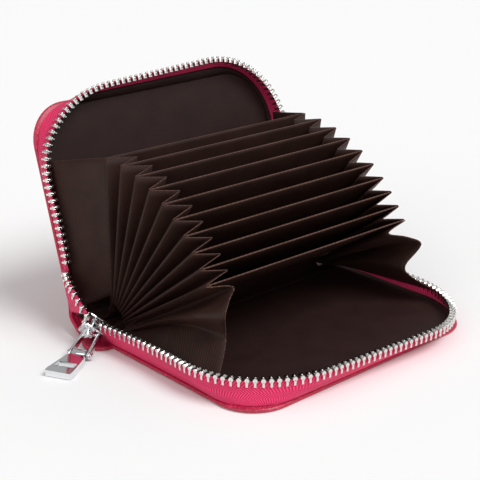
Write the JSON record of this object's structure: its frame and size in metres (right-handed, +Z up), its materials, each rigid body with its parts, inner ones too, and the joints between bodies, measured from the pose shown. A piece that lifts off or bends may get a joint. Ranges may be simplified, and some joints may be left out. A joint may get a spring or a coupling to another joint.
{
  "type": "accordion card holder",
  "caption": "Zip-round leather card holder, open, with a pleated fan of card pockets between two lined covers and a note pocket on each side.",
  "frame": {"origin": "middle of the outer face of the cover that lies flat, on the floor", "axes": "+X along the spine, away from the slider; +Y from the front edge to the spine; +Z up"},
  "size_m": [0.1459, 0.1259, 0.087],
  "materials": {
    "leather": "crimson pebble-grained leather with a turned edge",
    "zip_tape": "woven crimson zip tape with crimped metal teeth",
    "lining_cloth": "dark brown polyester twill with a slight sheen",
    "board": "plain pressed grey board, hidden",
    "teeth_metal": "nickel-plated brass",
    "slider_metal": "polished chrome-plated zinc"
  },
  "bodies": {
    "back": {"back_cover": "leather", "back_board": "board", "back_lining": "lining_cloth", "back_zip": "zip_tape", "back_zip_stop": "teeth_metal", "slider_body": "slider_metal", "back_gusset_left": "lining_cloth", "back_gusset_right": "lining_cloth"},
    "spine": {"spine": "leather", "ear_left": "leather", "ear_right": "leather"},
    "front": {"front_cover": "leather", "front_board": "board", "front_lining": "lining_cloth", "front_zip": "zip_tape", "front_zip_end": "zip_tape", "front_zip_stop": "teeth_metal", "front_gusset_left": "lining_cloth", "front_gusset_right": "lining_cloth"},
    "divider_10": {"divider_10": "lining_cloth", "pleat_left_9": "lining_cloth", "pleat_right_9": "lining_cloth"},
    "divider_09": {"divider_09": "lining_cloth", "pleat_left_8": "lining_cloth", "pleat_right_8": "lining_cloth"},
    "divider_08": {"divider_08": "lining_cloth", "pleat_left_7": "lining_cloth", "pleat_right_7": "lining_cloth"},
    "divider_07": {"divider_07": "lining_cloth", "pleat_left_6": "lining_cloth", "pleat_right_6": "lining_cloth"},
    "divider_06": {"divider_06": "lining_cloth", "pleat_left_5": "lining_cloth", "pleat_right_5": "lining_cloth"},
    "divider_05": {"divider_05": "lining_cloth", "pleat_left_4": "lining_cloth", "pleat_right_4": "lining_cloth"},
    "divider_04": {"divider_04": "lining_cloth", "pleat_left_3": "lining_cloth", "pleat_right_3": "lining_cloth"},
    "divider_03": {"divider_03": "lining_cloth", "pleat_left_2": "lining_cloth", "pleat_right_2": "lining_cloth"},
    "divider_02": {"divider_02": "lining_cloth", "pleat_left_1": "lining_cloth", "pleat_right_1": "lining_cloth"},
    "divider_01": {"divider_01": "lining_cloth"},
    "pull_link": {"pull_link": "slider_metal", "pull_rivet": "slider_metal"},
    "pull_tab": {"pull_tab": "slider_metal"}
  },
  "joints": [
    {"name": "spine_fold", "type": "hinge", "parent": "back", "child": "spine", "pos_m": [0, 0.0391, 0.0008], "axis": [1, 0, 0], "range_deg": [0, 81.5], "deforming": ["back_gusset_left", "back_gusset_right", "front_gusset_left", "front_gusset_right", "ear_left", "ear_right", "front_zip_end", "pleat_left_1", "pleat_left_2", "pleat_left_3", "pleat_left_4", "pleat_left_5", "pleat_left_6", "pleat_left_7", "pleat_left_8", "pleat_left_9", "pleat_right_1", "pleat_right_2", "pleat_right_3", "pleat_right_4", "pleat_right_5", "pleat_right_6", "pleat_right_7", "pleat_right_8", "pleat_right_9"]},
    {"name": "front_fold", "type": "hinge", "parent": "spine", "child": "front", "pos_m": [0, 0.05829, 0.00367], "axis": [1, 0, 0], "range_deg": [0, 24.75], "deforming": ["back_gusset_left", "back_gusset_right", "front_gusset_left", "front_gusset_right", "ear_left", "ear_right", "front_zip_end", "pleat_left_1", "pleat_left_2", "pleat_left_3", "pleat_left_4", "pleat_left_5", "pleat_left_6", "pleat_left_7", "pleat_left_8", "pleat_left_9", "pleat_right_1", "pleat_right_2", "pleat_right_3", "pleat_right_4", "pleat_right_5", "pleat_right_6", "pleat_right_7", "pleat_right_8", "pleat_right_9"]},
    {"name": "divider_10_fold", "type": "hinge", "parent": "back", "child": "divider_10", "pos_m": [0, 0.0363, 0.0066], "axis": [1, 0, 0], "range_deg": [0, 31.45], "deforming": ["back_gusset_left", "back_gusset_right", "front_gusset_left", "front_gusset_right", "ear_left", "ear_right", "front_zip_end", "pleat_left_1", "pleat_left_2", "pleat_left_3", "pleat_left_4", "pleat_left_5", "pleat_left_6", "pleat_left_7", "pleat_left_8", "pleat_left_9", "pleat_right_1", "pleat_right_2", "pleat_right_3", "pleat_right_4", "pleat_right_5", "pleat_right_6", "pleat_right_7", "pleat_right_8", "pleat_right_9"]},
    {"name": "divider_09_fold", "type": "hinge", "parent": "divider_10", "child": "divider_09", "pos_m": [0, 0.03685, 0.0075], "axis": [1, 0, 0], "range_deg": [0, 4.85], "deforming": ["back_gusset_left", "back_gusset_right", "front_gusset_left", "front_gusset_right", "ear_left", "ear_right", "front_zip_end", "pleat_left_1", "pleat_left_2", "pleat_left_3", "pleat_left_4", "pleat_left_5", "pleat_left_6", "pleat_left_7", "pleat_left_8", "pleat_left_9", "pleat_right_1", "pleat_right_2", "pleat_right_3", "pleat_right_4", "pleat_right_5", "pleat_right_6", "pleat_right_7", "pleat_right_8", "pleat_right_9"]},
    {"name": "divider_08_fold", "type": "hinge", "parent": "divider_09", "child": "divider_08", "pos_m": [0, 0.03747, 0.00834], "axis": [1, 0, 0], "range_deg": [0, 5.19], "deforming": ["back_gusset_left", "back_gusset_right", "front_gusset_left", "front_gusset_right", "ear_left", "ear_right", "front_zip_end", "pleat_left_1", "pleat_left_2", "pleat_left_3", "pleat_left_4", "pleat_left_5", "pleat_left_6", "pleat_left_7", "pleat_left_8", "pleat_left_9", "pleat_right_1", "pleat_right_2", "pleat_right_3", "pleat_right_4", "pleat_right_5", "pleat_right_6", "pleat_right_7", "pleat_right_8", "pleat_right_9"]},
    {"name": "divider_07_fold", "type": "hinge", "parent": "divider_08", "child": "divider_07", "pos_m": [0, 0.03816, 0.00913], "axis": [1, 0, 0], "range_deg": [0, 5.55], "deforming": ["back_gusset_left", "back_gusset_right", "front_gusset_left", "front_gusset_right", "ear_left", "ear_right", "front_zip_end", "pleat_left_1", "pleat_left_2", "pleat_left_3", "pleat_left_4", "pleat_left_5", "pleat_left_6", "pleat_left_7", "pleat_left_8", "pleat_left_9", "pleat_right_1", "pleat_right_2", "pleat_right_3", "pleat_right_4", "pleat_right_5", "pleat_right_6", "pleat_right_7", "pleat_right_8", "pleat_right_9"]},
    {"name": "divider_06_fold", "type": "hinge", "parent": "divider_07", "child": "divider_06", "pos_m": [0, 0.03893, 0.00985], "axis": [1, 0, 0], "range_deg": [0, 5.93], "deforming": ["back_gusset_left", "back_gusset_right", "front_gusset_left", "front_gusset_right", "ear_left", "ear_right", "front_zip_end", "pleat_left_1", "pleat_left_2", "pleat_left_3", "pleat_left_4", "pleat_left_5", "pleat_left_6", "pleat_left_7", "pleat_left_8", "pleat_left_9", "pleat_right_1", "pleat_right_2", "pleat_right_3", "pleat_right_4", "pleat_right_5", "pleat_right_6", "pleat_right_7", "pleat_right_8", "pleat_right_9"]},
    {"name": "divider_05_fold", "type": "hinge", "parent": "divider_06", "child": "divider_05", "pos_m": [0, 0.03976, 0.01049], "axis": [1, 0, 0], "range_deg": [0, 6.34], "deforming": ["back_gusset_left", "back_gusset_right", "front_gusset_left", "front_gusset_right", "ear_left", "ear_right", "front_zip_end", "pleat_left_1", "pleat_left_2", "pleat_left_3", "pleat_left_4", "pleat_left_5", "pleat_left_6", "pleat_left_7", "pleat_left_8", "pleat_left_9", "pleat_right_1", "pleat_right_2", "pleat_right_3", "pleat_right_4", "pleat_right_5", "pleat_right_6", "pleat_right_7", "pleat_right_8", "pleat_right_9"]},
    {"name": "divider_04_fold", "type": "hinge", "parent": "divider_05", "child": "divider_04", "pos_m": [0, 0.04066, 0.01103], "axis": [1, 0, 0], "range_deg": [0, 6.78], "deforming": ["back_gusset_left", "back_gusset_right", "front_gusset_left", "front_gusset_right", "ear_left", "ear_right", "front_zip_end", "pleat_left_1", "pleat_left_2", "pleat_left_3", "pleat_left_4", "pleat_left_5", "pleat_left_6", "pleat_left_7", "pleat_left_8", "pleat_left_9", "pleat_right_1", "pleat_right_2", "pleat_right_3", "pleat_right_4", "pleat_right_5", "pleat_right_6", "pleat_right_7", "pleat_right_8", "pleat_right_9"]},
    {"name": "divider_03_fold", "type": "hinge", "parent": "divider_04", "child": "divider_03", "pos_m": [0, 0.04162, 0.01146], "axis": [1, 0, 0], "range_deg": [0, 7.25], "deforming": ["back_gusset_left", "back_gusset_right", "front_gusset_left", "front_gusset_right", "ear_left", "ear_right", "front_zip_end", "pleat_left_1", "pleat_left_2", "pleat_left_3", "pleat_left_4", "pleat_left_5", "pleat_left_6", "pleat_left_7", "pleat_left_8", "pleat_left_9", "pleat_right_1", "pleat_right_2", "pleat_right_3", "pleat_right_4", "pleat_right_5", "pleat_right_6", "pleat_right_7", "pleat_right_8", "pleat_right_9"]},
    {"name": "divider_02_fold", "type": "hinge", "parent": "divider_03", "child": "divider_02", "pos_m": [0, 0.04262, 0.01177], "axis": [1, 0, 0], "range_deg": [0, 7.76], "deforming": ["back_gusset_left", "back_gusset_right", "front_gusset_left", "front_gusset_right", "ear_left", "ear_right", "front_zip_end", "pleat_left_1", "pleat_left_2", "pleat_left_3", "pleat_left_4", "pleat_left_5", "pleat_left_6", "pleat_left_7", "pleat_left_8", "pleat_left_9", "pleat_right_1", "pleat_right_2", "pleat_right_3", "pleat_right_4", "pleat_right_5", "pleat_right_6", "pleat_right_7", "pleat_right_8", "pleat_right_9"]},
    {"name": "divider_01_fold", "type": "hinge", "parent": "divider_02", "child": "divider_01", "pos_m": [0, 0.04366, 0.01194], "axis": [1, 0, 0], "range_deg": [0, 8.3], "deforming": ["back_gusset_left", "back_gusset_right", "front_gusset_left", "front_gusset_right", "ear_left", "ear_right", "front_zip_end", "pleat_left_1", "pleat_left_2", "pleat_left_3", "pleat_left_4", "pleat_left_5", "pleat_left_6", "pleat_left_7", "pleat_left_8", "pleat_left_9", "pleat_right_1", "pleat_right_2", "pleat_right_3", "pleat_right_4", "pleat_right_5", "pleat_right_6", "pleat_right_7", "pleat_right_8", "pleat_right_9"]},
    {"name": "link_swing", "type": "hinge", "parent": "back", "child": "pull_link", "pos_m": [-0.06055, 0.03842, 0.00554], "axis": [-0.454, 0.891, 0], "range_deg": [-40, 50]},
    {"name": "tab_swing", "type": "hinge", "parent": "pull_link", "child": "pull_tab", "pos_m": [-0.06817, 0.03453, 0.0019], "axis": [-0.454, 0.891, 0], "range_deg": [-110, 60]}
  ],
  "couplings": [
    {"joint": "front_fold", "follows": "spine_fold", "ratio": 0.30307},
    {"joint": "divider_10_fold", "follows": "spine_fold", "ratio": 0.38528},
    {"joint": "divider_09_fold", "follows": "spine_fold", "ratio": 0.058896},
    {"joint": "divider_08_fold", "follows": "spine_fold", "ratio": 0.063018},
    {"joint": "divider_07_fold", "follows": "spine_fold", "ratio": 0.06743},
    {"joint": "divider_06_fold", "follows": "spine_fold", "ratio": 0.07215},
    {"joint": "divider_05_fold", "follows": "spine_fold", "ratio": 0.0772},
    {"joint": "divider_04_fold", "follows": "spine_fold", "ratio": 0.082604},
    {"joint": "divider_03_fold", "follows": "spine_fold", "ratio": 0.088387},
    {"joint": "divider_02_fold", "follows": "spine_fold", "ratio": 0.094574},
    {"joint": "divider_01_fold", "follows": "spine_fold", "ratio": 0.10119}
  ]
}
